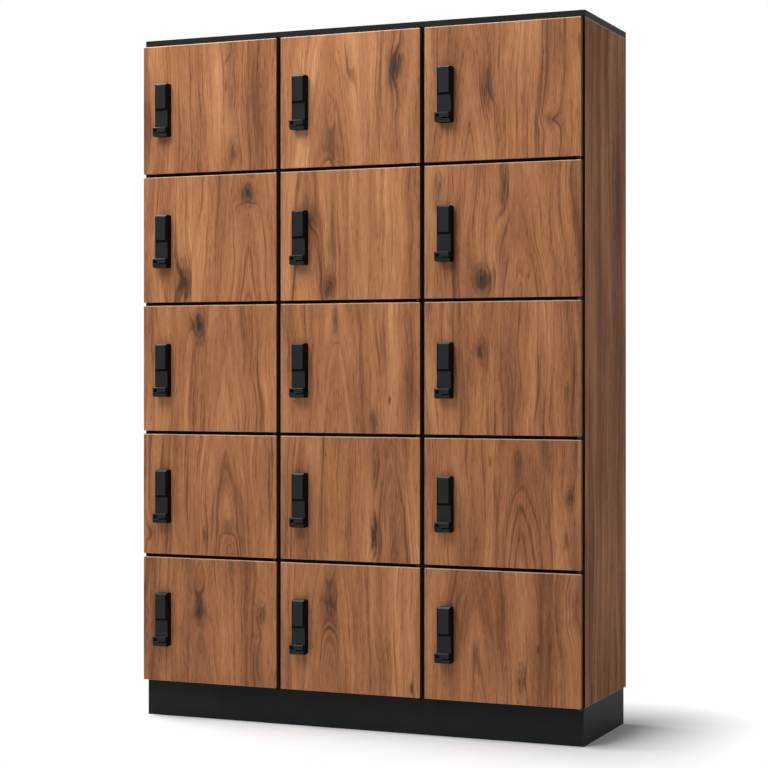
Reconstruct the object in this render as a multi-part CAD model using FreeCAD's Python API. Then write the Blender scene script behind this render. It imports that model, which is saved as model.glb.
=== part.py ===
import FreeCAD, Part
import math
import os

Vector = FreeCAD.Vector

# Walnut-faced locker of three columns and five rows of doors, in millimetres, +Z up, doors facing -Y.
# The origin is on the floor, under the middle of the overall box.

# Overall size of the case
OVERALL_WIDTH = 1225.0
OVERALL_HEIGHT = 1802.0
CARCASS_DEPTH = 360.0

# Boards of the case
BOARD = 15.0
DIVIDER_THICKNESS = 25.0
BACK_THICKNESS = 9.0
BACK_INSET = 4.0
TOP_THICKNESS = 17.0
TOP_EDGE_EASE = 0.3

# How the columns, left to right, share the clear width, and the rows, top to bottom, the clear height
COLUMN_NAMES = ("left", "middle", "right")
COLUMN_WIDTH_SHARES = (0.3284, 0.3284, 0.3432)
ROW_HEIGHT_SHARES = (0.2099, 0.2026, 0.2020, 0.1933, 0.1922)

# Plinth under the case
PLINTH_HEIGHT = 96.0
PLINTH_INSET = 5.0

# Doors, laid over the front edges of the case
DOOR_THICKNESS = 15.0
DOOR_STANDOFF = 5.0
DOOR_END_INSET = 4.0
DOOR_TOP_INSET = 2.5
DOOR_EDGE_EASE = 1.0
COLUMN_GAP = 13.0
ROW_GAP = 9.0

# Pivot hinges in the gaps above and below each door, near its right edge
PIVOT_INSET = 7.0
PIN_RADIUS = 2.5
PIN_REACH = 10.0
PIN_RUNNING_CLEARANCE = 0.05
PIN_AXIAL_CLEARANCE = 0.3
PIN_END_CLEARANCE = 1.0
COLLAR_RADIUS = 4.5
TONGUE_RADIUS = 5.0
BRACKET_THICKNESS = 2.0
BRACKET_HEIGHT = 40.0

# Lock housing, held against the door's front
LOCK_WIDTH = 38.0
LOCK_HEIGHT = 141.0
LOCK_DEPTH = 24.0
LOCK_FROM_WALL = 34.5
LOCK_DROP = 5.4
LOCK_CORNER_RADIUS = 4.0
LOCK_SIDE_BEVEL = 5.0
LOCK_TOP_BEVEL = 4.5
LOCK_FOOT_DEPTH = 8.0
SCOOP_TOP = 74.0
SCOOP_HEIGHT = 7.0
SCOOP_DEPTH = 4.0
SCOOP_SAG = 0.8
LOWER_FACE_FALL = 0.8

# Case of the lock behind the door
REAR_CASE_HEIGHT = 72.0
REAR_CASE_DEPTH = 10.0
REAR_CASE_EDGE = 2.0

# Lever at the foot of the lock, its spindle and its cam
LEVER_HEIGHT = 25.0
LEVER_OVERHANG = 5.5
LEVER_CORNER_RADIUS = 5.0
LEVER_SMALL_RADIUS = 1.5
LEVER_EDGE = 1.2
LEVER_PIVOT_INSET = 6.0
LEVER_CLEARANCE = 0.4
LEVER_SOCKET_DEPTH = 6.0
LEVER_WINDOW_WIDTH = 9.5
LEVER_WINDOW_HEIGHT = 8.5
LEVER_WINDOW_DEPTH = 3.8
LEVER_WINDOW_INSET = 4.0
LEVER_SLOT_LEVEL = 9.2
LEVER_SLOT_HEIGHT = 3.2
LEVER_SLOT_DEPTH = 6.0
LEVER_SLOT_LENGTH = 24.0
LEVER_LIP_SETBACK = 2.0
SPINDLE_RADIUS = 4.0
SPINDLE_DOOR_CLEARANCE = 2.0
SPINDLE_RUNNING_CLEARANCE = 0.05
SPINDLE_TAIL = 1.5
CAM_LENGTH = 55.0
CAM_WIDTH = 16.0
CAM_THICKNESS = 3.0
CAM_CORNER_RADIUS = 6.0
CAM_CLEARANCE = 0.3

# Strike on the wall beside each lock
STRIKE_THICKNESS = 2.0
STRIKE_LENGTH = 30.0
STRIKE_HEIGHT = 24.0
STRIKE_SETBACK = 1.0
STRIKE_OVERLAP = 8.0

# Rubber buffers that the closed doors meet
BUFFER_RADIUS = 2.5
BUFFER_INSET = 3.0
BUFFER_END_INSET = 40.0
BUFFER_CLEARANCE = 0.3

# How far a cutting shape runs past the faces that it cuts
OVERRUN = 1.0

# Depths, from the lock's front to the back of the case
overall_depth = LOCK_DEPTH + DOOR_THICKNESS + DOOR_STANDOFF + CARCASS_DEPTH
lock_front = -overall_depth / 2
door_front = lock_front + LOCK_DEPTH
door_back = door_front + DOOR_THICKNESS
case_front = door_back + DOOR_STANDOFF
case_back = case_front + CARCASS_DEPTH
back_panel_back = case_back - BACK_INSET
back_panel_front = back_panel_back - BACK_THICKNESS
pivot_y = (door_front + door_back) / 2
rear_case_back = door_back + REAR_CASE_DEPTH
cam_front = rear_case_back + CAM_CLEARANCE
cam_back = cam_front + CAM_THICKNESS

# Widths, from the left end to the right end
case_left = -OVERALL_WIDTH / 2
case_right = OVERALL_WIDTH / 2
clear_width = OVERALL_WIDTH - 2 * BOARD - len(COLUMN_NAMES[1:]) * DIVIDER_THICKNESS

# Heights, from the floor up
case_bottom = PLINTH_HEIGHT
top_underside = OVERALL_HEIGHT - TOP_THICKNESS
clear_height = top_underside - case_bottom - len(ROW_HEIGHT_SHARES) * BOARD


def box(x_span, y_span, z_span):
    """A block between two values on each axis."""
    low = Vector(x_span[0], y_span[0], z_span[0])
    return Part.makeBox(x_span[1] - x_span[0], y_span[1] - y_span[0], z_span[1] - z_span[0], low)


def upright_pin(radius, x, y, z_span):
    """A cylinder along the height."""
    return Part.makeCylinder(radius, z_span[1] - z_span[0], Vector(x, y, z_span[0]))


def level_pin(radius, x, z, y_span):
    """A cylinder along the depth."""
    return Part.makeCylinder(radius, y_span[1] - y_span[0], Vector(x, y_span[0], z), Vector(0, 1, 0))


def plate(x_span, y_span, z_span, corner_radii):
    """An upright plate with rounded corners: lower left, lower right, upper right, upper left."""
    corners = (
        (x_span[0], z_span[0], 1, 1),
        (x_span[1], z_span[0], -1, 1),
        (x_span[1], z_span[1], -1, -1),
        (x_span[0], z_span[1], 1, -1),
    )
    arcs = []
    for index, (x, z, inward_x, inward_z) in enumerate(corners):
        radius = corner_radii[index]
        diagonal = radius - radius * math.sqrt(0.5)
        on_side = Vector(x, y_span[0], z + inward_z * radius)
        on_corner = Vector(x + inward_x * diagonal, y_span[0], z + inward_z * diagonal)
        on_end = Vector(x + inward_x * radius, y_span[0], z)
        leaves_along_end = index % 2 == 0
        arcs.append((on_side, on_corner, on_end) if leaves_along_end else (on_end, on_corner, on_side))
    edges = []
    for index, (start, middle, end) in enumerate(arcs):
        next_start = arcs[(index + 1) % len(arcs)][0]
        edges.append(Part.Arc(start, middle, end).toShape())
        edges.append(Part.makeLine(end, next_start))
    outline = Part.Face(Part.Wire(edges))
    return outline.extrude(Vector(0, y_span[1] - y_span[0], 0))


def prism(points, direction):
    """A flat outline of straight edges, pushed along a direction."""
    outline = Part.Face(Part.makePolygon(points + points[:1]))
    return outline.extrude(direction)


def edges_across(solid, y):
    """The edges of a solid whose ends and middle lie on one plane across the depth."""
    found = []
    for edge in solid.Edges:
        middle = edge.valueAt((edge.FirstParameter + edge.LastParameter) / 2)
        points = [vertex.Point for vertex in edge.Vertexes] + [middle]
        if all(math.isclose(point.y, y) for point in points):
            found.append(edge)
    return found


def export(name, solids):
    """Write one named piece, or one group of like pieces."""
    shape = solids[0] if len(solids) == 1 else Part.makeCompound(solids)
    shape.exportStep("parts/" + name + ".step")


# Clear span of each column between its walls
column_spans = []
next_wall = case_left + BOARD
for width_share in COLUMN_WIDTH_SHARES:
    right_wall = next_wall + clear_width * width_share / sum(COLUMN_WIDTH_SHARES)
    column_spans.append((next_wall, right_wall))
    next_wall = right_wall + DIVIDER_THICKNESS

# Clear span of each row between its shelves, top to bottom
row_spans = []
next_ceiling = top_underside
for height_share in ROW_HEIGHT_SHARES:
    floor = next_ceiling - clear_height * height_share / sum(ROW_HEIGHT_SHARES)
    row_spans.append((floor, next_ceiling))
    next_ceiling = floor - BOARD

# Span of each column's doors across the front: the outer ones stop short of the case's ends
divider_lap = (DIVIDER_THICKNESS - COLUMN_GAP) / 2
end_lap = BOARD - DOOR_END_INSET
door_x_spans = []
for column, (left_wall, right_wall) in enumerate(column_spans):
    left_lap = end_lap if column == 0 else divider_lap
    right_lap = end_lap if column == len(column_spans) - 1 else divider_lap
    door_x_spans.append((left_wall - left_lap, right_wall + right_lap))

# Span of each row's doors up the front: the first stops short of the top, the last meets the case's foot
shelf_lap = (BOARD - ROW_GAP) / 2
door_z_spans = []
for row, (floor, ceiling) in enumerate(row_spans):
    lower_lap = BOARD if row == len(row_spans) - 1 else shelf_lap
    upper_lap = -DOOR_TOP_INSET if row == 0 else shelf_lap
    door_z_spans.append((floor - lower_lap, ceiling + upper_lap))


def make_case():
    """Top, ends, dividers, shelves, floor and back."""
    top = box((case_left, case_right), (case_front, case_back), (top_underside, OVERALL_HEIGHT))
    export("top_panel", [top.makeChamfer(TOP_EDGE_EASE, top.Edges)])
    end_height = (case_bottom, top_underside)
    end_depth = (case_front, case_back)
    export("left_end_panel", [box((case_left, case_left + BOARD), end_depth, end_height)])
    export("right_end_panel", [box((case_right - BOARD, case_right), end_depth, end_height)])
    inner_width = (case_left + BOARD, case_right - BOARD)
    inner_depth = (case_front, back_panel_front)
    export("bottom_panel", [box(inner_width, inner_depth, (case_bottom, case_bottom + BOARD))])
    export("back_panel", [box(inner_width, (back_panel_front, back_panel_back), end_height)])
    divider_height = (case_bottom + BOARD, top_underside)
    for name, (left_wall, right_wall) in zip(("left_divider", "right_divider"), column_spans):
        export(name, [box((right_wall, right_wall + DIVIDER_THICKNESS), inner_depth, divider_height)])
    shelves = []
    for column_span in column_spans:
        for floor, ceiling in row_spans[:-1]:
            shelves.append(box(column_span, inner_depth, (floor - BOARD, floor)))
    export("shelves", shelves)


def make_plinth():
    """Front and back rails, with cross rails at the ends and under the dividers."""
    height = (0, PLINTH_HEIGHT)
    left = case_left + PLINTH_INSET
    right = case_right - PLINTH_INSET
    front = case_front + PLINTH_INSET
    back = case_back - PLINTH_INSET
    export("plinth_front_rail", [box((left, right), (front, front + BOARD), height)])
    export("plinth_back_rail", [box((left, right), (back - BOARD, back), height)])
    starts = [left]
    for left_wall, right_wall in column_spans[:-1]:
        starts.append(right_wall + (DIVIDER_THICKNESS - BOARD) / 2)
    starts.append(right - BOARD)
    cross_depth = (front + BOARD, back - BOARD)
    export("plinth_cross_rails", [box((start, start + BOARD), cross_depth, height) for start in starts])


def make_bracket(x, z, flange_span):
    """An upright plate on the case's front edges, with a tongue that holds a pivot pin."""
    flange_depth = (case_front - BRACKET_THICKNESS, case_front)
    flange = box((x - TONGUE_RADIUS, x + PIVOT_INSET), flange_depth, flange_span)
    tongue_span = (z - BRACKET_THICKNESS / 2, z + BRACKET_THICKNESS / 2)
    tongue = box((x - TONGUE_RADIUS, x + TONGUE_RADIUS), (pivot_y, case_front), tongue_span)
    nose = upright_pin(TONGUE_RADIUS, x, pivot_y, tongue_span)
    hole = upright_pin(PIN_RADIUS, x, pivot_y, (tongue_span[0] - OVERRUN, tongue_span[1] + OVERRUN))
    return flange.fuse([tongue, nose]).removeSplitter().cut(hole)


def make_hinges():
    """Brackets and shouldered pins, one set per column at each gap between doors."""
    half_gap = ROW_GAP / 2
    half_tongue = BRACKET_THICKNESS / 2
    collar_end = half_gap - PIN_AXIAL_CLEARANCE
    reach = half_gap + PIN_REACH
    levels = []
    for row, (lower_edge, upper_edge) in enumerate(door_z_spans):
        gap_middle = upper_edge + half_gap
        flange_top = gap_middle + (half_tongue if row == 0 else BRACKET_HEIGHT / 2)
        levels.append((gap_middle, flange_top - BRACKET_HEIGHT, row > 0, True))
    lowest = case_bottom - half_gap
    levels.append((lowest, lowest - half_tongue, True, False))
    brackets = []
    pins = []
    for door_left, door_right in door_x_spans:
        x = door_right - PIVOT_INSET
        for z, flange_low, door_above, door_below in levels:
            brackets.append(make_bracket(x, z, (flange_low, flange_low + BRACKET_HEIGHT)))
            top_end = z + (reach if door_above else half_tongue)
            low_end = z - (reach if door_below else half_tongue)
            pin = upright_pin(PIN_RADIUS, x, pivot_y, (low_end, top_end))
            if door_above:
                pin = pin.fuse(upright_pin(COLLAR_RADIUS, x, pivot_y, (z + half_tongue, z + collar_end)))
            if door_below:
                pin = pin.fuse(upright_pin(COLLAR_RADIUS, x, pivot_y, (z - collar_end, z - half_tongue)))
            pins.append(pin.removeSplitter())
    export("hinge_brackets", brackets)
    export("hinge_pins", pins)


def make_door(x_span, z_span, spindle_x, spindle_z):
    """A flat door bored for its two pivot pins and for the lock's spindle."""
    panel = box(x_span, (door_front, door_back), z_span)
    panel = panel.makeChamfer(DOOR_EDGE_EASE, panel.Edges)
    bore_radius = PIN_RADIUS + PIN_RUNNING_CLEARANCE
    bore_depth = PIN_REACH + PIN_END_CLEARANCE
    pivot_x = x_span[1] - PIVOT_INSET
    cuts = [
        upright_pin(bore_radius, pivot_x, pivot_y, (z_span[0] - OVERRUN, z_span[0] + bore_depth)),
        upright_pin(bore_radius, pivot_x, pivot_y, (z_span[1] - bore_depth, z_span[1] + OVERRUN)),
        level_pin(
            SPINDLE_RADIUS + SPINDLE_DOOR_CLEARANCE,
            spindle_x,
            spindle_z,
            (door_front - OVERRUN, door_back + OVERRUN),
        ),
    ]
    return panel.cut(cuts)


def make_housing(left, bottom):
    """The moulded front of the lock: its side profile, plan and front outline share one body."""
    right = left + LOCK_WIDTH
    top = bottom + LOCK_HEIGHT
    foot_front = door_front - LOCK_FOOT_DEPTH
    ledge = bottom + LEVER_HEIGHT + LEVER_CLEARANCE
    scoop_low = Vector(left, lock_front + SCOOP_DEPTH, bottom + SCOOP_TOP - SCOOP_HEIGHT)
    scoop_high = Vector(left, lock_front, bottom + SCOOP_TOP)
    scoop_middle = (scoop_low + scoop_high) / 2 + Vector(0, SCOOP_SAG, SCOOP_SAG)
    outline = [
        scoop_high,
        Vector(left, lock_front, top - LOCK_TOP_BEVEL),
        Vector(left, lock_front + LOCK_TOP_BEVEL, top),
        Vector(left, door_front, top),
        Vector(left, door_front, bottom),
        Vector(left, foot_front, bottom),
        Vector(left, foot_front, ledge),
        Vector(left, scoop_low.y + LOWER_FACE_FALL, ledge),
        scoop_low,
    ]
    edges = [Part.makeLine(start, end) for start, end in zip(outline, outline[1:])]
    edges.append(Part.Arc(scoop_low, scoop_middle, scoop_high).toShape())
    side = Part.Face(Part.Wire(edges)).extrude(Vector(LOCK_WIDTH, 0, 0))
    plan = prism(
        [
            Vector(left, door_front, bottom),
            Vector(left, lock_front + LOCK_SIDE_BEVEL, bottom),
            Vector(left + LOCK_SIDE_BEVEL, lock_front, bottom),
            Vector(right - LOCK_SIDE_BEVEL, lock_front, bottom),
            Vector(right, lock_front + LOCK_SIDE_BEVEL, bottom),
            Vector(right, door_front, bottom),
        ],
        Vector(0, 0, LOCK_HEIGHT),
    )
    front = plate((left, right), (lock_front, door_front), (bottom, top), [LOCK_CORNER_RADIUS] * 4)
    return side.common(plan).common(front)


def make_rear_case(left, bottom):
    """The lock's case behind the door."""
    case = plate(
        (left, left + LOCK_WIDTH),
        (door_back, rear_case_back),
        (bottom, bottom + REAR_CASE_HEIGHT),
        [LOCK_CORNER_RADIUS] * 4,
    )
    return case.makeChamfer(REAR_CASE_EDGE, edges_across(case, rear_case_back))


def make_lock(left, bottom, spindle_x, spindle_z):
    """Front housing and rear case, both bored for the spindle."""
    bore = level_pin(
        SPINDLE_RADIUS + SPINDLE_RUNNING_CLEARANCE,
        spindle_x,
        spindle_z,
        (lock_front - OVERRUN, rear_case_back + OVERRUN),
    )
    return [make_housing(left, bottom).cut(bore), make_rear_case(left, bottom).cut(bore)]


def make_lever(left, bottom, spindle_x, spindle_z):
    """The block at the lock's foot, with its side bevel, its window, its slot and its set-back lip."""
    lever_left = left - LEVER_OVERHANG
    lever_right = left + LOCK_WIDTH
    lever_back = door_front - LOCK_FOOT_DEPTH - CAM_CLEARANCE
    lever_top = bottom + LEVER_HEIGHT
    radii = [LEVER_CORNER_RADIUS, LEVER_SMALL_RADIUS, LEVER_PIVOT_INSET, LEVER_SMALL_RADIUS]
    block = plate((lever_left, lever_right), (lock_front, lever_back), (bottom, lever_top), radii)
    block = block.makeChamfer(LEVER_EDGE, edges_across(block, lock_front))
    before = lock_front - OVERRUN
    beside = lever_right + OVERRUN
    bevel = prism(
        [
            Vector(lever_right - LOCK_SIDE_BEVEL - OVERRUN, before, bottom),
            Vector(beside, before, bottom),
            Vector(beside, lock_front + LOCK_SIDE_BEVEL + OVERRUN, bottom),
        ],
        Vector(0, 0, LEVER_HEIGHT),
    )
    window_left = lever_left + LEVER_WINDOW_INSET
    window_top = lever_top - LEVER_WINDOW_INSET
    slot_low = bottom + LEVER_SLOT_LEVEL
    slot_x = (lever_right - LEVER_SLOT_LENGTH, beside)
    lip_x = (lever_left - OVERRUN, beside)
    socket_end = lever_back - LEVER_SOCKET_DEPTH
    cuts = [
        bevel,
        box(
            (window_left, window_left + LEVER_WINDOW_WIDTH),
            (before, lock_front + LEVER_WINDOW_DEPTH),
            (window_top - LEVER_WINDOW_HEIGHT, window_top),
        ),
        box(slot_x, (before, lock_front + LEVER_SLOT_DEPTH), (slot_low, slot_low + LEVER_SLOT_HEIGHT)),
        box(lip_x, (before, lock_front + LEVER_LIP_SETBACK), (bottom - OVERRUN, slot_low)),
        level_pin(SPINDLE_RADIUS, spindle_x, spindle_z, (socket_end, lever_back + OVERRUN)),
    ]
    return block.cut(cuts)


def make_latch(left, bottom, spindle_x, spindle_z):
    """Lever, spindle and cam: the cam points up while the lever lies level."""
    lever_back = door_front - LOCK_FOOT_DEPTH - CAM_CLEARANCE
    spindle_span = (lever_back - LEVER_SOCKET_DEPTH, cam_back + SPINDLE_TAIL)
    spindle = level_pin(SPINDLE_RADIUS, spindle_x, spindle_z, spindle_span)
    half_width = CAM_WIDTH / 2
    cam = plate(
        (spindle_x - half_width, spindle_x + half_width),
        (cam_front, cam_back),
        (spindle_z - half_width, spindle_z + CAM_LENGTH),
        [CAM_CORNER_RADIUS] * 4,
    )
    return [make_lever(left, bottom, spindle_x, spindle_z), spindle, cam.cut(spindle)]


def make_strike(left_wall, spindle_x, spindle_z):
    """A bent plate on the wall whose lip the cam turns behind."""
    lip_end = spindle_x - CAM_LENGTH + STRIKE_OVERLAP
    front = case_front + STRIKE_SETBACK
    low = spindle_z - STRIKE_HEIGHT / 2
    return prism(
        [
            Vector(left_wall, front, low),
            Vector(lip_end, front, low),
            Vector(lip_end, front + STRIKE_THICKNESS, low),
            Vector(left_wall + STRIKE_THICKNESS, front + STRIKE_THICKNESS, low),
            Vector(left_wall + STRIKE_THICKNESS, front + STRIKE_LENGTH, low),
            Vector(left_wall, front + STRIKE_LENGTH, low),
        ],
        Vector(0, 0, STRIKE_HEIGHT),
    )


def make_doors():
    """Every door with its lock and latch, and the strikes and buffers that they meet."""
    strikes = []
    buffers = []
    for column, name in enumerate(COLUMN_NAMES):
        left_wall = column_spans[column][0]
        x_span = door_x_spans[column]
        lock_left = left_wall + LOCK_FROM_WALL
        spindle_x = lock_left + LOCK_WIDTH - LEVER_PIVOT_INSET
        for row, z_span in enumerate(door_z_spans):
            place = name + "_" + str(row + 1)
            lock_bottom = sum(row_spans[row]) / 2 - LOCK_DROP - LOCK_HEIGHT / 2
            spindle_z = lock_bottom + LEVER_HEIGHT - LEVER_PIVOT_INSET
            export("door_" + place, [make_door(x_span, z_span, spindle_x, spindle_z)])
            export("lock_" + place, make_lock(lock_left, lock_bottom, spindle_x, spindle_z))
            export("latch_" + place, make_latch(lock_left, lock_bottom, spindle_x, spindle_z))
            strikes.append(make_strike(left_wall, spindle_x, spindle_z))
            buffer_x = x_span[0] + BUFFER_INSET
            for buffer_z in (z_span[0] + BUFFER_END_INSET, z_span[1] - BUFFER_END_INSET):
                buffer_depth = (door_back + BUFFER_CLEARANCE, case_front)
                buffers.append(level_pin(BUFFER_RADIUS, buffer_x, buffer_z, buffer_depth))
    export("strike_plates", strikes)
    export("door_buffers", buffers)


os.makedirs("parts", exist_ok=True)
make_case()
make_plinth()
make_hinges()
make_doors()
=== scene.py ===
import math

import bpy
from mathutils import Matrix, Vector


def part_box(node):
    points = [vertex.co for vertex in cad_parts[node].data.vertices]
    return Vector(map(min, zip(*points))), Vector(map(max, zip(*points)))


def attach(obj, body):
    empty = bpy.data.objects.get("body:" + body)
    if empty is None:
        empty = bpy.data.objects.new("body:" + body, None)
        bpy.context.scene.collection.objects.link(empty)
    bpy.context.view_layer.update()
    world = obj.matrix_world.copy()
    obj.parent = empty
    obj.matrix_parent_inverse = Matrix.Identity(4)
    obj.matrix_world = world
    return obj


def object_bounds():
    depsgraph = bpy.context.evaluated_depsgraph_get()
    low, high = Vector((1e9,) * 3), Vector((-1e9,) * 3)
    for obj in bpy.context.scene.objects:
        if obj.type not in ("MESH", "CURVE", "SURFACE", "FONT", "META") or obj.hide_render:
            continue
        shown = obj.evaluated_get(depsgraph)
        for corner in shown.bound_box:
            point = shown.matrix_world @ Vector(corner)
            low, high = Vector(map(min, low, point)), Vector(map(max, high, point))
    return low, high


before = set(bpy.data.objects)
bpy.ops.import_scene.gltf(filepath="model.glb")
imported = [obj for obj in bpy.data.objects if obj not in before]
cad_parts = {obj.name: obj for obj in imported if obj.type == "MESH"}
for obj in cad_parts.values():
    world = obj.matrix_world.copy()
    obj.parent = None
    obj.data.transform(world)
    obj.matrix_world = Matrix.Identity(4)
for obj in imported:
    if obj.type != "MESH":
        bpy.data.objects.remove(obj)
cad_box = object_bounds()

# Walnut-faced locker, in metres, in the frame of its solids: +Z up, doors facing -Y.

# Camera, fitted to the edges in the photograph
IMAGE_SIZE = 768
FOCAL_PIXELS = 1991.6
HORIZON_ROW = 369.76
SENSOR_WIDTH = 36.0
CAMERA_PLACE = (2.0500, -4.8283, 0.9223)
CAMERA_YAW = math.radians(22.874)

# Studio: place, size and power of each soft lamp, and what it points at
LAMP_TARGET = (0.0, 0.0, 0.95)
LAMPS = {
    "key_lamp": ((-0.8, -2.2, 3.7), 1.8, 84.0),
    "top_lamp": ((-1.5, -0.2, 4.2), 1.8, 160.0),
    "fill_lamp": ((3.0, -0.9, 3.8), 1.8, 9.0),
}
AMBIENT_STRENGTH = 0.26
FLOOR_SIZE = 60.0
FLOOR_NEAR = 0.03
FLOOR_FAR = 0.34
FLOOR_TONES = ((0.0, (224, 224, 224)), (1.0, (231, 231, 231)))
FLOOR_NOISE = ((0.6, 0.6, 0.6), 2.0)
FLOOR_ROUGHNESS = 0.9
FLOOR_SPECULAR = 0.1
WHITE = (1.0, 1.0, 1.0, 1.0)

# Fittings that the solids carry
BRACKET_FRONT = 0.002
BRACKET_SCREW_INSET = 0.003
BRACKET_SCREW_LEVELS = (-0.015, 0.015)
TOP_BRACKET_SCREW_LEVELS = (-0.014, -0.034)
FOOT_BRACKET_SCREW_LEVELS = (0.020, 0.034)
BRACKET_SCREW_RADIUS = 0.0024
BRACKET_SCREW_HEIGHT = 0.0004
HALF_ROW_GAP = 0.0045
ROW_COUNT = 5
SPINDLE_LEVEL = 0.019
STRIKE_THICKNESS = 0.002
STRIKE_SCREW_SETBACK = 0.017
STRIKE_SCREW_SPREAD = 0.007
STRIKE_SCREW_RADIUS = 0.003
STRIKE_SCREW_HEIGHT = 0.0011
CASE_SCREW_INSETS = (0.008, 0.023)
CASE_SCREW_LEVEL = 0.0052
CASE_SCREW_RADIUS = 0.0022
CASE_SCREW_HEIGHT = 0.0008
BACK_SCREW_RADIUS = 0.0042
BACK_SCREW_HEIGHT = 0.0018
BACK_SCREW_EDGE = 0.020
SCREW_POINTS = 24
SCREW_SHARP_ANGLE = math.radians(32)

# Rings of a screw's round head and of its socket: shares of its radius and of its height
SCREW_HEAD_SHARES = ((1.0, 0.0), (1.0, 0.30), (0.90, 0.72), (0.68, 1.0))
SCREW_SOCKET_SHARES = ((0.42, 1.0), (0.40, 0.25))

# Lever: the spans of its window and its slot from its lowest front left corner,
# and its back's distance from the door
LEVER_RECESSES = (
    ((0.0039, 0.0136), (0.0005, 0.0045), (0.0124, 0.0211)),
    ((0.0194, 0.0434), (0.0010, 0.0065), (0.0091, 0.0125)),
)
LEVER_BACK = 0.0082

# How far a face of the lock turns sideways, or down, before it takes a darker copy of its finish as painted
# shade
SIDE_SLANT = 0.3
DOWN_SLANT = 0.12

# Figure of each door, in shares of its width from the left and of its height from the bottom:
# the joint between two staves, the heart of the growth rings, then knots and smoky marks,
# each with its place across and up, its half width and half height, and how dark it is
FIGURE_SHARES = {
    "left_1": (
        0.62,
        (1.50, 0.30),
        ((0.68, 0.62, 0.030, 0.16, 0.40), (0.69, 0.12, 0.030, 0.10, 0.50), (0.66, 0.95, 0.040, 0.06, 0.35)),
    ),
    "left_2": (
        0.37,
        (0.80, 0.15),
        ((0.79, 0.84, 0.038, 0.07, 0.92), (0.32, 0.15, 0.048, 0.12, 0.78)),
    ),
    "left_3": (
        0.47,
        (0.62, 0.40),
        ((0.42, 0.84, 0.042, 0.085, 0.88),),
    ),
    "left_4": (
        0.30,
        (0.645, 0.05),
        ((0.48, 0.14, 0.012, 0.07, 0.55), (0.07, 0.17, 0.020, 0.06, 0.45), (0.645, 0.22, 0.03, 0.05, 0.35)),
    ),
    "left_5": (
        0.93,
        (0.43, 0.55),
        (
            (0.43, 0.60, 0.030, 0.08, 0.85),
            (0.67, 0.93, 0.020, 0.06, 0.45),
            (0.885, 0.57, 0.030, 0.07, 0.55),
            (0.86, 0.20, 0.030, 0.14, 0.45),
        ),
    ),
    "middle_1": (
        0.40,
        (0.36, 0.02),
        ((0.825, 0.72, 0.030, 0.08, 0.90), (0.38, 0.10, 0.040, 0.14, 0.52), (0.48, 0.75, 0.025, 0.20, 0.30)),
    ),
    "middle_2": (
        0.41,
        (0.20, 0.66),
        ((0.345, 0.09, 0.026, 0.06, 0.58), (0.37, 0.40, 0.025, 0.25, 0.30), (0.22, 0.63, 0.030, 0.10, 0.42)),
    ),
    "middle_3": (
        0.43,
        (0.40, 0.25),
        ((0.40, 0.88, 0.015, 0.10, 0.50), (0.79, 0.26, 0.006, 0.02, 0.80), (0.67, 0.08, 0.020, 0.07, 0.75)),
    ),
    "middle_4": (
        0.62,
        (0.81, 0.90),
        ((0.69, 0.82, 0.020, 0.14, 0.55), (0.68, 0.28, 0.015, 0.06, 0.65), (0.69, 0.14, 0.020, 0.08, 0.40)),
    ),
    "middle_5": (
        0.415,
        (0.36, 0.66),
        ((0.37, 0.72, 0.045, 0.13, 0.70), (0.95, 0.08, 0.010, 0.03, 0.60)),
    ),
    "right_1": (
        0.46,
        (0.28, 0.40),
        (
            (0.40, 0.50, 0.022, 0.12, 0.70),
            (0.283, 0.25, 0.006, 0.02, 0.70),
            (0.81, 0.28, 0.035, 0.04, 0.45),
            (0.95, 0.85, 0.030, 0.15, 0.30),
        ),
    ),
    "right_2": (
        0.55,
        (0.60, 0.15),
        (
            (0.385, 0.15, 0.040, 0.07, 0.85),
            (0.52, 0.86, 0.030, 0.16, 0.72),
            (0.08, 0.83, 0.030, 0.12, 0.50),
            (0.665, 0.15, 0.006, 0.02, 0.60),
            (0.95, 0.87, 0.015, 0.10, 0.50),
        ),
    ),
    "right_3": (
        0.42,
        (1.60, 0.50),
        ((0.37, 0.60, 0.020, 0.08, 0.70), (0.905, 0.30, 0.012, 0.05, 0.65), (0.38, 0.85, 0.025, 0.15, 0.30)),
    ),
    "right_4": (
        0.75,
        (0.63, 0.05),
        (
            (0.61, 0.80, 0.020, 0.09, 0.60),
            (0.925, 0.56, 0.020, 0.06, 0.70),
            (0.895, 0.24, 0.012, 0.06, 0.60),
            (0.43, 0.82, 0.008, 0.03, 0.50),
        ),
    ),
    "right_5": (
        0.42,
        (0.33, 0.30),
        ((0.61, 0.18, 0.020, 0.09, 0.65), (0.72, 0.42, 0.006, 0.02, 0.75), (0.93, 0.80, 0.060, 0.20, 0.30)),
    ),
}

# How much lighter or darker each door's board is, in shares of the whole range of tones
TONE_SHARES = {
    "left_1": -0.04,
    "left_2": 0.01,
    "left_3": 0.05,
    "left_4": -0.09,
    "left_5": -0.10,
    "middle_1": 0.08,
    "middle_2": 0.10,
    "middle_3": 0.03,
    "middle_4": -0.01,
    "middle_5": 0.0,
    "right_1": 0.01,
    "right_2": 0.03,
    "right_3": -0.02,
    "right_4": -0.04,
    "right_5": -0.01,
}
# End panels are darker than the doors: partly their own wood, partly painted shade of the side that faces
# away from the key lamp
END_TONE_AND_SHADE_SHARE = -0.08
END_SEED = 40

# Straight grain for the end panels: joint and heart lie outside the board, and it has no marks
STRAIGHT_FIGURE_SHARES = (2.0, (3.0, 0.5), ())

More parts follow.
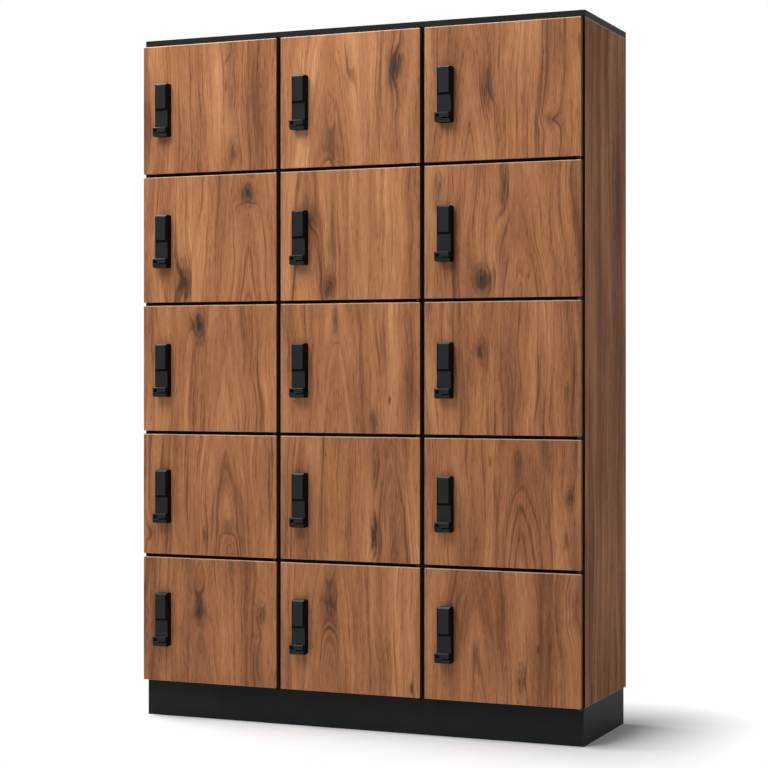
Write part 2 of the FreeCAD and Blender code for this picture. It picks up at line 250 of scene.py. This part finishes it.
# Walnut: tones from dark to light, and the sizes of its figure
WALNUT_TONES = (
    (0.00, (78, 50, 36)),
    (0.30, (122, 78, 53)),
    (0.55, (160, 106, 71)),
    (0.80, (186, 130, 89)),
    (1.00, (208, 156, 112)),
)
END_TONES = (
    (0.00, (79, 54, 41)),
    (0.30, (124, 83, 60)),
    (0.55, (163, 113, 81)),
    (0.80, (189, 139, 101)),
    (1.00, (211, 167, 127)),
)
SMOKE_TONE = (76, 51, 38)
EYE_TONE = (50, 50, 52)
# Pale tone of the lines along the front arrises: partly rubbing, partly painted highlight
EDGE_WEAR_AND_HIGHLIGHT_TONE = (226, 190, 156)
RING_SLOPE = 0.15
HEART_WIDTH = 0.05
HEART_DEPTH = 0.010
MARK_WIDENING = 1.75
MARK_LENGTHENING = 1.75
KNOT_TURNS = 15.0
EYE_DARKNESS = 0.8
DOOR_SPECULAR = 0.09
END_SPECULAR = 0.01
JOINT_SHIFT = 0.19
EDGE_WIDTH = 0.0011
# Width of the painted highlight along the top arris
TOP_HIGHLIGHT_WIDTH = 0.0026
SEED_STEP = (3.71, 1.37, 5.23)
EDGE_SLANT = 0.3
THICKNESS_DRIFT = 0.7
JOINT_LIFT = JOINT_SHIFT * 3
HEART_SWAY = 0.050
HEART_RIPPLE = 0.004
RING_SWELL = 0.020
MARK_SWAY = 0.03
MARK_SIDE_RIPPLE = 0.018
MARK_SWELL = 0.03
MARK_UP_RIPPLE = 0.024
KNOT_RIPPLE = 5.0
FACE_WIDTHS = 2.0

# Walnut's noise: its scale across, through and along the board, and its detail
SWAY_NOISE = ((7.0, 7.0, 2.6), 2.0)
SWELL_NOISE = ((5.0, 5.0, 5.0), 1.0)
RIPPLE_NOISE = ((30.0, 30.0, 16.0), 1.0)
FIBRE_NOISE = ((360.0, 360.0, 22.0), 2.5)
BAND_NOISE = ((20.0, 1.0, 1.0), 2.0)
STREAK_NOISE = ((75.0, 1.0, 3.0), 2.0)
LATE_WOOD_NOISE = ((150.0, 1.0, 3.0), 1.0)
CLOUD_NOISE = ((9.0, 9.0, 3.0), 2.0)
PORE_NOISE = ((700.0, 700.0, 50.0), 0.0)

# How much each part of the walnut shows
MARK_PUSH_SHARE = 1.6
KNOT_RING_SHARE = 0.10
KNOT_FIBRE_SHARE = 0.55
KNOT_SHARE = 0.95
EYE_TIGHTNESS = 9.0
EYE_SHARE = 0.85
LATE_WOOD_START = 0.05
LATE_WOOD_GAIN = 6.0
PORE_START = 0.10
PORE_GAIN = 7.0
BAND_SHARE = 0.80
STREAK_SHARE = 0.52
CLOUD_SHARE = 0.55
FIBRE_SHARE = 0.40
PORE_SHARE = 0.15
MIDDLE_TONE_SHARE = 0.58
RING_CLOUD_SHARE = 0.5
RING_SHARE = 0.20
RING_SMOKE_SHARE = 0.30
WISP_SMOKE_SHARE = 1.25
WISP_STREAK_SHARE = 1.2
WISP_FIBRE_SHARE = 1.0
WISP_LATE_WOOD_SHARE = 0.15
WISP_START = 0.20
WISP_GAIN = 1.15
SMOKE_GAIN = 4.0
# Lines along the arrises: partly rubbing, partly painted highlight; the top line is a painted highlight
WEAR_AND_HIGHLIGHT_FIBRE_SHARE = 0.8
EDGE_WEAR_AND_HIGHLIGHT_SHARE = 0.45
TOP_HIGHLIGHT_SHARE = 0.85
WALNUT_ROUGHNESS = 0.50
PORE_ROUGHNESS_SHARE = 0.15
FIBRE_ROUGHNESS_SHARE = 0.12
WALNUT_BUMP = 0.12
WALNUT_BUMP_DEPTH = 0.0004
FIBRE_BUMP_SHARE = 0.5
LATE_WOOD_BUMP_SHARE = 0.3

# Mottled finishes: dark and light tone, grains in a metre, roughness, bump and gloss,
# then for some the width, share and tone of the lighter line along their edges:
# rubbing, and on the lock also a painted highlight on its bevels
# The lock's lighter edges: rubbing, and a painted highlight on its bevels
LOCK_WEAR_AND_HIGHLIGHT = (0.0009, 0.35, (96, 99, 102))
STEEL_WEAR = (0.0006, 0.3, (60, 61, 62))
MOTTLED_FINISHES = {
    "black_board": ((28, 29, 30), (42, 43, 44), 900.0, 0.52, 0.06, 0.05),
    # Door edges: walnut-brown edge band, darkened as painted shade for the gaps between doors
    "door_edge_and_shade": ((84, 51, 30), (112, 69, 41), 700.0, 0.60, 0.06, 0.04),
    # End panels' edges: dark brown edge band, darkened as painted shade of the door beside it
    "end_edge_and_shade": ((26, 17, 12), (44, 30, 21), 700.0, 0.60, 0.06, 0.04),
    "lock_black": ((30, 31, 32), (42, 43, 44), 1900.0, 0.28, 0.05, 0.08, LOCK_WEAR_AND_HIGHLIGHT),
    # Darker copy of the lock's finish for faces turned sideways or down: painted shade
    "lock_side_shade": ((9, 9, 10), (16, 16, 17), 1900.0, 0.50, 0.05, 0.03),
    # Near-black for the lever's window and slot: painted shade in the recesses
    "lock_recess_shade": ((5, 5, 5), (9, 9, 9), 1900.0, 0.60, 0.05, 0.05),
    "black_steel": ((13, 13, 14), (24, 24, 25), 700.0, 0.45, 0.10, 0.2, STEEL_WEAR),
    "rubber": ((18, 18, 18), (34, 34, 33), 2400.0, 0.82, 0.25, 0.3),
}
MOTTLE_DETAIL = 2.0
MOTTLE_CLOUD_NOISE = ((9.0, 9.0, 9.0), 3.0)
MOTTLE_SHARE = 1.2
MOTTLE_CLOUD_SHARE = 0.8
# Mottling in the lighter edge line: rubbing, and on the lock a painted highlight
MOTTLE_WEAR_AND_HIGHLIGHT_SHARE = 1.5
MOTTLE_ROUGHNESS_SHARE = 0.20
CLOUD_ROUGHNESS_SHARE = 0.16
MOTTLE_BUMP_DEPTH = 0.0003

# Brushed metals: dark and light tone, marks in a metre along each axis, and roughness
BRUSHED_FINISHES = {
    "steel": ((120, 121, 123), (196, 197, 199), (300.0, 300.0, 3500.0), 0.34),
    "dark_steel": ((24, 24, 25), (58, 58, 60), (2600.0, 2600.0, 2600.0), 0.42),
}
BRUSH_DETAIL = 2.0
BRUSH_CLOUD_NOISE = ((30.0, 30.0, 30.0), 2.0)
BRUSH_SHARE = 1.4
BRUSH_CLOUD_SHARE = 0.6
BRUSH_ROUGHNESS_SHARE = 0.25
BRUSH_CLOUD_ROUGHNESS_SHARE = 0.15
BRUSH_BUMP = 0.10
BRUSH_BUMP_DEPTH = 0.0002

# Shared by the finishes: the middle of a noise's range, and the rays that find an edge
HALF_SHARE = 0.5
EDGE_SAMPLES = 8

# Places of a solid's finishes: its faces, its sides or edges, which on doors, end panels and locks take
# finishes darkened as painted shade, its recesses, which take painted shade, and its bare metal
FACE_SLOT, SIDE_SLOT, RECESS_SLOT, METAL_SLOT = range(4)

# Solids with one finish
NODE_FINISHES = {
    "top_panel": "black_board",
    "left_divider": "black_board",
    "right_divider": "black_board",
    "bottom_panel": "black_board",
    "back_panel": "black_board",
    "shelves": "black_board",
    "plinth_front_rail": "black_board",
    "plinth_back_rail": "black_board",
    "plinth_cross_rails": "black_board",
    "hinge_brackets": "black_steel",
    "hinge_pins": "dark_steel",
    "strike_plates": "black_steel",
    "door_buffers": "rubber",
}


def linear(tone):
    """A colour written from 0 to 255, as light."""
    parts = []
    for part in tone:
        share = part / 255
        parts.append(share / 12.92 if share <= 0.04045 else ((share + 0.055) / 1.055) ** 2.4)
    return (*parts, 1.0)


class Wire:
    """One value among a material's nodes, so that sums of values read as sums."""

    def __init__(self, graph, socket):
        self.graph = graph
        self.socket = socket

    def __add__(self, other):
        return self.graph.math("ADD", self, other)

    def __sub__(self, other):
        return self.graph.math("SUBTRACT", self, other)

    def __rsub__(self, other):
        return self.graph.math("SUBTRACT", other, self)

    def __mul__(self, other):
        return self.graph.math("MULTIPLY", self, other)

    def __truediv__(self, other):
        return self.graph.math("DIVIDE", self, other)

    def __rtruediv__(self, other):
        return self.graph.math("DIVIDE", other, self)

    def clamped(self):
        return self.graph.math("MAXIMUM", self.graph.math("MINIMUM", self, 1.0), 0.0)


class Graph:
    """The nodes of one material."""

    def __init__(self, name):
        self.material = bpy.data.materials.new(name)
        self.material.use_nodes = True
        self.tree = self.material.node_tree
        self.shader = self.tree.nodes["Principled BSDF"]

    def node(self, kind, **settings):
        made = self.tree.nodes.new(kind)
        for key, value in settings.items():
            setattr(made, key, value)
        return made

    def feed(self, socket, value):
        if isinstance(value, Wire):
            self.tree.links.new(value.socket, socket)
        else:
            socket.default_value = value

    def math(self, operation, *values):
        made = self.node("ShaderNodeMath", operation=operation)
        for socket, value in zip(made.inputs, values):
            self.feed(socket, value)
        return Wire(self, made.outputs[0])

    def place(self):
        """The three coordinates of the part's own frame."""
        source = self.node("ShaderNodeTexCoord")
        split = self.node("ShaderNodeSeparateXYZ")
        self.tree.links.new(source.outputs["Object"], split.inputs[0])
        return [Wire(self, output) for output in split.outputs]

    def point(self, x, y, z):
        made = self.node("ShaderNodeCombineXYZ")
        for socket, value in zip(made.inputs, (x, y, z)):
            self.feed(socket, value)
        return Wire(self, made.outputs[0])

    def stretched(self, point, scales):
        made = self.node("ShaderNodeVectorMath", operation="MULTIPLY")
        self.feed(made.inputs[0], point)
        made.inputs[1].default_value = scales
        return Wire(self, made.outputs[0])

    def noise(self, point, scales, detail):
        """Soft noise about zero, with its own scale along each axis."""
        made = self.node("ShaderNodeTexNoise")
        self.feed(made.inputs["Vector"], self.stretched(point, scales))
        made.inputs["Scale"].default_value = 1.0
        made.inputs["Detail"].default_value = detail
        return Wire(self, made.outputs["Fac"]) - HALF_SHARE

    def ramp(self, value, tones):
        made = self.node("ShaderNodeValToRGB")
        self.feed(made.inputs["Fac"], value)
        stops = made.color_ramp.elements
        while len(stops) < len(tones):
            stops.new(0.5)
        for stop, (position, tone) in zip(stops, tones):
            stop.position = position
            stop.color = linear(tone)
        return Wire(self, made.outputs["Color"])

    def blend(self, share, low, tone):
        """A colour that turns into another tone by a share."""
        made = self.node("ShaderNodeMix", data_type="RGBA")
        self.feed(made.inputs["Factor"], share)
        sockets = [socket for socket in made.inputs if socket.type == "RGBA"]
        self.feed(sockets[0], low)
        self.feed(sockets[1], linear(tone))
        return Wire(self, [socket for socket in made.outputs if socket.type == "RGBA"][0])

    def bump(self, height, strength, distance):
        made = self.node("ShaderNodeBump")
        made.inputs["Strength"].default_value = strength
        made.inputs["Distance"].default_value = distance
        self.feed(made.inputs["Height"], height)
        self.tree.links.new(made.outputs["Normal"], self.shader.inputs["Normal"])

    def edges(self, distance):
        """Near 1 within a distance of an outer edge, and 0 on flat faces."""
        made = self.node("ShaderNodeAmbientOcclusion", inside=True, samples=EDGE_SAMPLES)
        made.inputs["Distance"].default_value = distance
        return 1.0 - Wire(self, made.outputs["AO"])

    def set(self, **values):
        """Constants go on the shader's own sockets."""
        for name, value in values.items():
            self.shader.inputs[name.replace("_", " ")].default_value = value

    def link(self, name, wire):
        self.tree.links.new(wire.socket, self.shader.inputs[name])


def walnut(name, low, high, seed, figure, across_axis, tones, tone_share, specular):
    """Walnut with upright grain on one board, with the board's own figure."""
    graph = Graph(name)
    place = graph.place()
    thick_axis = 1 - across_axis
    up = place[2]
    across = place[across_axis] + (place[thick_axis] - low[thick_axis]) * THICKNESS_DRIFT
    wide = high[across_axis] - low[across_axis]
    tall = high.z - low.z
    joint_share, heart_shares, mark_shares = figure
    joint = low[across_axis] + joint_share * wide
    beyond = graph.math("GREATER_THAN", across, joint)
    grain = graph.point(
        across + beyond * JOINT_SHIFT + seed * SEED_STEP[0],
        place[thick_axis] + seed * SEED_STEP[1],
        up + beyond * JOINT_LIFT + seed * SEED_STEP[2],
    )
    sway = graph.noise(grain, *SWAY_NOISE)
    swell = graph.noise(grain, *SWELL_NOISE)
    ripple = graph.noise(grain, *RIPPLE_NOISE)
    fibres = graph.noise(grain, *FIBRE_NOISE)
    heart = low[across_axis] + heart_shares[0] * wide
    aside = across - heart + sway * HEART_SWAY + ripple * HEART_RIPPLE
    ahead = up - (low.z + heart_shares[1] * tall)
    near_heart = aside / HEART_WIDTH
    taper = RING_SLOPE / (near_heart * near_heart + 1.0)
    reach = graph.math("SQRT", aside * aside + HEART_DEPTH ** 2) + ahead * taper + swell * RING_SWELL
    smoke = None
    eyes = None
    for x_share, z_share, half_wide, half_tall, darkness in mark_shares:
        mark_across = low[across_axis] + x_share * wide
        mark_up = low.z + z_share * tall
        beside = across + sway * MARK_SWAY + ripple * MARK_SIDE_RIPPLE - mark_across
        from_x = beside / (half_wide * wide * MARK_WIDENING)
        above = up + swell * MARK_SWELL + ripple * MARK_UP_RIPPLE - mark_up
        from_z = above / (half_tall * tall * MARK_LENGTHENING)
        spread = from_x * from_x + from_z * from_z
        mark = graph.math("EXPONENT", spread * -1.0)
        same_side = beyond if x_share > joint_share else 1.0 - beyond
        mark = mark * same_side
        reach = reach + mark * (half_wide * wide * MARK_PUSH_SHARE)
        knot_rings = graph.math("SINE", graph.math("SQRT", spread) * KNOT_TURNS + ripple * KNOT_RIPPLE)
        shade = mark * (knot_rings * KNOT_RING_SHARE + fibres * KNOT_FIBRE_SHARE + KNOT_SHARE) * darkness
        smoke = shade if smoke is None else smoke + shade
        if darkness > EYE_DARKNESS:
            eye = graph.math("EXPONENT", spread * -EYE_TIGHTNESS)
            eyes = eye if eyes is None else eyes + eye
    rings = graph.point(reach, beyond * JOINT_SHIFT + seed * SEED_STEP[1], up + seed * SEED_STEP[2])
    bands = graph.noise(rings, *BAND_NOISE)
    streaks = graph.noise(rings, *STREAK_NOISE)
    late_wood = ((graph.noise(rings, *LATE_WOOD_NOISE) - LATE_WOOD_START) * LATE_WOOD_GAIN).clamped()
    cloud = graph.noise(grain, *CLOUD_NOISE)
    pores = ((graph.noise(grain, *PORE_NOISE) - PORE_START) * PORE_GAIN).clamped()
    tone = bands * BAND_SHARE + streaks * STREAK_SHARE + cloud * CLOUD_SHARE + fibres * FIBRE_SHARE
    tone = tone + (MIDDLE_TONE_SHARE + tone_share)
    ring_depth = cloud * RING_CLOUD_SHARE + RING_SHARE
    if smoke is not None:
        ring_depth = ring_depth + smoke * RING_SMOKE_SHARE
    tone = tone - late_wood * ring_depth.clamped() - pores * PORE_SHARE
    colour = graph.ramp(tone, tones)
    if smoke is not None:
        wisps = smoke * WISP_SMOKE_SHARE + streaks * WISP_STREAK_SHARE + fibres * WISP_FIBRE_SHARE
        wisps = (wisps + late_wood * WISP_LATE_WOOD_SHARE - WISP_START) * WISP_GAIN
        colour = graph.blend(wisps.clamped() * (smoke * SMOKE_GAIN).clamped(), colour, SMOKE_TONE)
    if eyes is not None:
        colour = graph.blend(eyes * EYE_SHARE, colour, EYE_TONE)
    # Pale lines along the front arrises: along the sides and foot partly rubbing and partly painted
    # highlight, along the top a stronger painted highlight
    from_ends = []
    for axis in range(2):
        from_ends.append(graph.math("MINIMUM", place[axis] - low[axis], high[axis] - place[axis]))
    from_edge = graph.math("MINIMUM", from_ends[across_axis], up - low.z)
    wear_and_highlight = (1.0 - from_edge / EDGE_WIDTH).clamped() * (fibres * WEAR_AND_HIGHLIGHT_FIBRE_SHARE + EDGE_WEAR_AND_HIGHLIGHT_SHARE)
    near_top = (1.0 - (high.z - up) / TOP_HIGHLIGHT_WIDTH).clamped()
    painted_top_highlight = near_top * (fibres * WEAR_AND_HIGHLIGHT_FIBRE_SHARE + TOP_HIGHLIGHT_SHARE)
    near_face = (FACE_WIDTHS - from_ends[thick_axis] / EDGE_WIDTH).clamped()
    colour = graph.blend((wear_and_highlight + painted_top_highlight).clamped() * near_face, colour, EDGE_WEAR_AND_HIGHLIGHT_TONE)
    graph.link("Base Color", colour)
    rough = pores * PORE_ROUGHNESS_SHARE + fibres * FIBRE_ROUGHNESS_SHARE + WALNUT_ROUGHNESS
    graph.link("Roughness", rough)
    height = fibres * FIBRE_BUMP_SHARE - pores - late_wood * LATE_WOOD_BUMP_SHARE
    graph.bump(height, WALNUT_BUMP, WALNUT_BUMP_DEPTH)
    graph.set(Specular_IOR_Level=specular)
    return graph.material


def mottled(name, dark_tone, light_tone, grain_scale, roughness, bump, specular, edge_wear_and_highlight=None):
    """A plain finish with fine mottling, lighter along its edges where a width is given: rubbed, and on the
    lock also a painted highlight on its bevels.
    """
    graph = Graph(name)
    point = graph.point(*graph.place())
    fine = graph.noise(point, (grain_scale,) * 3, MOTTLE_DETAIL)
    cloud = graph.noise(point, *MOTTLE_CLOUD_NOISE)
    tone = fine * MOTTLE_SHARE + cloud * MOTTLE_CLOUD_SHARE + HALF_SHARE
    colour = graph.ramp(tone, ((0.0, dark_tone), (1.0, light_tone)))
    if edge_wear_and_highlight is not None:
        width, share, wear_and_highlight_tone = edge_wear_and_highlight
        # Lighter along the edges: rubbing, and on the lock also a painted highlight on its bevels
        wear_and_highlight = graph.edges(width) * (fine * MOTTLE_WEAR_AND_HIGHLIGHT_SHARE + 1.0) * share
        colour = graph.blend(wear_and_highlight.clamped(), colour, wear_and_highlight_tone)
    graph.link("Base Color", colour)
    graph.link("Roughness", fine * MOTTLE_ROUGHNESS_SHARE + cloud * CLOUD_ROUGHNESS_SHARE + roughness)
    graph.bump(fine, bump, MOTTLE_BUMP_DEPTH)
    graph.set(Specular_IOR_Level=specular)
    return graph.material


def brushed(name, dark_tone, light_tone, scales, roughness):
    """Metal with fine marks, along one direction where the scales differ."""
    graph = Graph(name)
    point = graph.point(*graph.place())
    marks = graph.noise(point, scales, BRUSH_DETAIL)
    cloud = graph.noise(point, *BRUSH_CLOUD_NOISE)
    tone = marks * BRUSH_SHARE + cloud * BRUSH_CLOUD_SHARE + HALF_SHARE
    graph.link("Base Color", graph.ramp(tone, ((0.0, dark_tone), (1.0, light_tone))))
    graph.link("Roughness", marks * BRUSH_ROUGHNESS_SHARE + cloud * BRUSH_CLOUD_ROUGHNESS_SHARE + roughness)
    graph.bump(marks, BRUSH_BUMP, BRUSH_BUMP_DEPTH)
    graph.set(Metallic=1.0)
    return graph.material


finishes = {}
for finish_name, values in MOTTLED_FINISHES.items():
    finishes[finish_name] = mottled(finish_name, *values)
for finish_name, values in BRUSHED_FINISHES.items():
    finishes[finish_name] = brushed(finish_name, *values)


def dress(node, *materials):
    """Give a solid its materials."""
    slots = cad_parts[node].data.materials
    slots.clear()
    for material in materials:
        slots.append(material)


def finish_edges(node, thin_axis):
    """Put a board's second finish on its narrow edges."""
    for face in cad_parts[node].data.polygons:
        face.material_index = SIDE_SLOT if abs(face.normal[thin_axis]) < EDGE_SLANT else FACE_SLOT


def dress_lock(place_name, door_front):
    """Finish a lock and its latch: painted shade on faces turned sideways or down, painted shade in the
    lever's recesses, and steel behind the lever.
    """
    lock_node = "lock_" + place_name
    latch_node = "latch_" + place_name
    front = finishes["lock_black"]
    side_shade = finishes["lock_side_shade"]
    dress(lock_node, front, side_shade)
    dress(latch_node, front, side_shade, finishes["lock_recess_shade"], finishes["steel"])
    for node in (lock_node, latch_node):
        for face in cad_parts[node].data.polygons:
            # A face turned sideways or down takes the darker copy: painted shade
            turned_away = abs(face.normal.x) > SIDE_SLANT or face.normal.z < -DOWN_SLANT
            face.material_index = SIDE_SLOT if turned_away else FACE_SLOT
    lever_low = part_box(latch_node)[0]
    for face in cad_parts[latch_node].data.polygons:
        offset = face.center - lever_low
        # The lever's window and slot take the near-black finish: painted shade in the recesses
        for recess in LEVER_RECESSES:
            if all(start < value < stop for value, (start, stop) in zip(offset, recess)):
                face.material_index = RECESS_SLOT
        if face.center.y > door_front - LEVER_BACK:
            face.material_index = METAL_SLOT


for node_name, finish_name in NODE_FINISHES.items():
    dress(node_name, finishes[finish_name])

for index, side in enumerate(("left", "right")):
    node_name = side + "_end_panel"
    end_low, end_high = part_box(node_name)
    board = walnut(
        node_name + "_walnut",
        end_low,
        end_high,
        seed=END_SEED + index,
        figure=STRAIGHT_FIGURE_SHARES,
        across_axis=1,
        tones=END_TONES,
        tone_share=END_TONE_AND_SHADE_SHARE,
        specular=END_SPECULAR,
    )
    # The end panel's narrow edges take the dark edge finish: edge band and painted shade
    dress(node_name, board, finishes["end_edge_and_shade"])
    finish_edges(node_name, 0)

for index, (place_name, door_figure) in enumerate(FIGURE_SHARES.items()):
    door_low, door_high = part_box("door_" + place_name)
    board = walnut(
        "walnut_" + place_name,
        door_low,
        door_high,
        seed=index + 1,
        figure=door_figure,
        across_axis=0,
        tones=WALNUT_TONES,
        tone_share=TONE_SHARES[place_name],
        specular=DOOR_SPECULAR,
    )
    # The narrow edges take the darker edge finish: edge band and painted shade
    dress("door_" + place_name, board, finishes["door_edge_and_shade"])
    finish_edges("door_" + place_name, 1)
    dress_lock(place_name, door_low.y)


def screw_rings(radius, height):
    """Rings of a low round head with a six-sided socket: radius at a turn, and height."""
    def round_ring(share):
        return lambda turn: share * radius

    def socket_ring(share):
        third = math.pi / 3
        return lambda turn: share * radius / math.cos((turn % third) - third / 2)

    head = [(round_ring(share), level_share * height) for share, level_share in SCREW_HEAD_SHARES]
    socket = [(socket_ring(share), level_share * height) for share, level_share in SCREW_SOCKET_SHARES]
    return head + socket


def screws(name, body, seats, radius, height, finish_name):
    """Screw heads at (place, outward direction), as one piece on a body."""
    points = []
    faces = []
    rings = screw_rings(radius, height)
    for centre, outward in seats:
        outward = Vector(outward)
        aside = outward.orthogonal().normalized()
        ahead = outward.cross(aside)
        first = len(points)
        for ring_radius, level in rings:
            for step in range(SCREW_POINTS):
                turn = 2 * math.pi * step / SCREW_POINTS
                reach = ring_radius(turn)
                offset = aside * math.cos(turn) * reach + ahead * math.sin(turn) * reach
                points.append(Vector(centre) + offset + outward * level)
        for ring in range(len(rings) - 1):
            for step in range(SCREW_POINTS):
                here = first + ring * SCREW_POINTS + step
                beside = first + ring * SCREW_POINTS + (step + 1) % SCREW_POINTS
                faces.append((here, beside, beside + SCREW_POINTS, here + SCREW_POINTS))
        last = first + (len(rings) - 1) * SCREW_POINTS
        faces.append(tuple(range(last, last + SCREW_POINTS)))
        faces.append(tuple(range(first + SCREW_POINTS - 1, first - 1, -1)))
    mesh = bpy.data.meshes.new(name)
    mesh.from_pydata(points, [], faces)
    for face in mesh.polygons:
        face.use_smooth = True
    mesh.set_sharp_from_angle(angle=SCREW_SHARP_ANGLE)
    mesh.materials.append(finishes[finish_name])
    piece = bpy.data.objects.new(name, mesh)
    bpy.context.scene.collection.objects.link(piece)
    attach(piece, body)


bracket_seats = []
strike_seats = []
case_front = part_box("left_divider")[0].y
strike_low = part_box("strike_plates")[0]
wall_sides = {
    "left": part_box("left_end_panel")[1].x,
    "middle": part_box("left_divider")[1].x,
    "right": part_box("right_divider")[1].x,
}
for place_name in FIGURE_SHARES:
    column, row = place_name.split("_")
    door_low, door_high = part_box("door_" + place_name)
    lock_low, lock_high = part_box("lock_" + place_name)
    offsets = TOP_BRACKET_SCREW_LEVELS if row == "1" else BRACKET_SCREW_LEVELS
    levels = [door_high.z + HALF_ROW_GAP + offset for offset in offsets]
    if row == str(ROW_COUNT):
        levels += [door_low.z - HALF_ROW_GAP + offset for offset in FOOT_BRACKET_SCREW_LEVELS]
    for level in levels:
        seat = (door_high.x - BRACKET_SCREW_INSET, case_front - BRACKET_FRONT, level)
        bracket_seats.append((seat, (0, -1, 0)))
    spindle_z = lock_low.z + SPINDLE_LEVEL
    strike_x = wall_sides[column] + STRIKE_THICKNESS
    strike_y = strike_low.y + STRIKE_SCREW_SETBACK
    for offset in (-STRIKE_SCREW_SPREAD, STRIKE_SCREW_SPREAD):
        strike_seats.append(((strike_x, strike_y, spindle_z + offset), (1, 0, 0)))
    case_seats = []
    for inset in CASE_SCREW_INSETS:
        case_seats.append(((lock_low.x + inset, lock_high.y, lock_low.z + CASE_SCREW_LEVEL), (0, 1, 0)))
    screws(
        "lock_screws_" + place_name,
        place_name + "_door",
        case_seats,
        CASE_SCREW_RADIUS,
        CASE_SCREW_HEIGHT,
        "dark_steel",
    )
screws("bracket_screws", "carcass", bracket_seats, BRACKET_SCREW_RADIUS, BRACKET_SCREW_HEIGHT, "dark_steel")
screws("strike_screws", "carcass", strike_seats, STRIKE_SCREW_RADIUS, STRIKE_SCREW_HEIGHT, "dark_steel")

# Screws that hold the back board to the dividers, the shelves and the floor
back_low, back_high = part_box("back_panel")
shelf_levels = [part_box("bottom_panel")[0].z + BACK_SCREW_EDGE / 2]
for row in range(1, ROW_COUNT):
    upper_door_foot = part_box("door_left_" + str(row))[0].z
    lower_door_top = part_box("door_left_" + str(row + 1))[1].z
    shelf_levels.append((upper_door_foot + lower_door_top) / 2)
columns = [back_low.x + BACK_SCREW_EDGE]
for wall in ("left_divider", "right_divider"):
    wall_low, wall_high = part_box(wall)
    wall_middle = (wall_low.x + wall_high.x) / 2
    columns += [(columns[-1] + wall_middle) / 2, wall_middle]
columns += [(columns[-1] + back_high.x - BACK_SCREW_EDGE) / 2, back_high.x - BACK_SCREW_EDGE]
back_seats = []
for level in shelf_levels:
    for column_x in columns:
        back_seats.append(((column_x, back_high.y, level), (0, 1, 0)))
screws("back_screws", "carcass", back_seats, BACK_SCREW_RADIUS, BACK_SCREW_HEIGHT, "steel")


def seen_directly(tree):
    """1 where the eye, a reflection or glass meets the backdrop, and 0 where it lights the object."""
    path = tree.nodes.new("ShaderNodeLightPath")
    seen = path.outputs["Is Camera Ray"]
    for name in ("Is Glossy Ray", "Is Transmission Ray"):
        either = tree.nodes.new("ShaderNodeMath")
        either.operation = "MAXIMUM"
        tree.links.new(seen, either.inputs[0])
        tree.links.new(path.outputs[name], either.inputs[1])
        seen = either.outputs[0]
    return seen


def make_world():
    """White where it is seen, and soft even light elsewhere."""
    world = bpy.data.worlds.new("studio")
    world.use_nodes = True
    tree = world.node_tree
    soft = tree.nodes["Background"]
    soft.inputs["Color"].default_value = WHITE
    soft.inputs["Strength"].default_value = AMBIENT_STRENGTH
    white = tree.nodes.new("ShaderNodeBackground")
    white.inputs["Color"].default_value = WHITE
    white.inputs["Strength"].default_value = 1.0
    choice = tree.nodes.new("ShaderNodeMixShader")
    tree.links.new(seen_directly(tree), choice.inputs["Fac"])
    tree.links.new(soft.outputs[0], choice.inputs[1])
    tree.links.new(white.outputs[0], choice.inputs[2])
    tree.links.new(choice.outputs[0], tree.nodes["World Output"].inputs["Surface"])
    bpy.context.scene.world = world


def make_floor():
    """A pale floor that keeps the shadow near the object and fades to the white backdrop."""
    half = FLOOR_SIZE / 2
    mesh = bpy.data.meshes.new("floor")
    corners = [(-half, -half, 0), (half, -half, 0), (half, half, 0), (-half, half, 0)]
    mesh.from_pydata(corners, [], [(0, 1, 2, 3)])
    floor = bpy.data.objects.new("floor", mesh)
    bpy.context.scene.collection.objects.link(floor)
    graph = Graph("floor")
    x, y, z = graph.place()
    past_side = graph.math("MAXIMUM", graph.math("ABSOLUTE", x) - cad_box[1].x, 0.0)
    past_front = graph.math("MAXIMUM", graph.math("ABSOLUTE", y) - cad_box[1].y, 0.0)
    away = graph.math("SQRT", past_side * past_side + past_front * past_front)
    far = ((away - FLOOR_NEAR) / (FLOOR_FAR - FLOOR_NEAR)).clamped()
    seen = Wire(graph, seen_directly(graph.tree))
    cloud = graph.noise(graph.point(x, y, z), *FLOOR_NOISE)
    graph.link("Base Color", graph.ramp(cloud + HALF_SHARE, FLOOR_TONES))
    graph.set(Roughness=FLOOR_ROUGHNESS, Specular_IOR_Level=FLOOR_SPECULAR)
    white = graph.node("ShaderNodeEmission")
    choice = graph.node("ShaderNodeMixShader")
    graph.feed(choice.inputs["Fac"], seen * far)
    graph.tree.links.new(graph.shader.outputs[0], choice.inputs[1])
    graph.tree.links.new(white.outputs[0], choice.inputs[2])
    graph.tree.links.new(choice.outputs[0], graph.tree.nodes["Material Output"].inputs["Surface"])
    mesh.materials.append(graph.material)


def make_lamps():
    """Soft square lamps, all turned to the object."""
    for name, (place, size, power) in LAMPS.items():
        light = bpy.data.lights.new(name, "AREA")
        light.size = size
        light.energy = power
        lamp = bpy.data.objects.new(name, light)
        lamp.location = place
        lamp.rotation_euler = (Vector(LAMP_TARGET) - Vector(place)).to_track_quat("-Z", "Y").to_euler()
        bpy.context.scene.collection.objects.link(lamp)


def make_camera():
    """A level camera at the photograph's place, framed for its square picture."""
    data = bpy.data.cameras.new("camera")
    data.sensor_width = SENSOR_WIDTH
    data.lens = FOCAL_PIXELS / IMAGE_SIZE * SENSOR_WIDTH
    data.shift_y = (HORIZON_ROW - IMAGE_SIZE / 2) / IMAGE_SIZE
    camera = bpy.data.objects.new("camera", data)
    camera.location = CAMERA_PLACE
    camera.rotation_euler = (math.pi / 2, 0, CAMERA_YAW)
    bpy.context.scene.collection.objects.link(camera)
    bpy.context.scene.camera = camera


make_world()
make_floor()
make_lamps()
make_camera()
bpy.context.scene.view_settings.view_transform = "Standard"
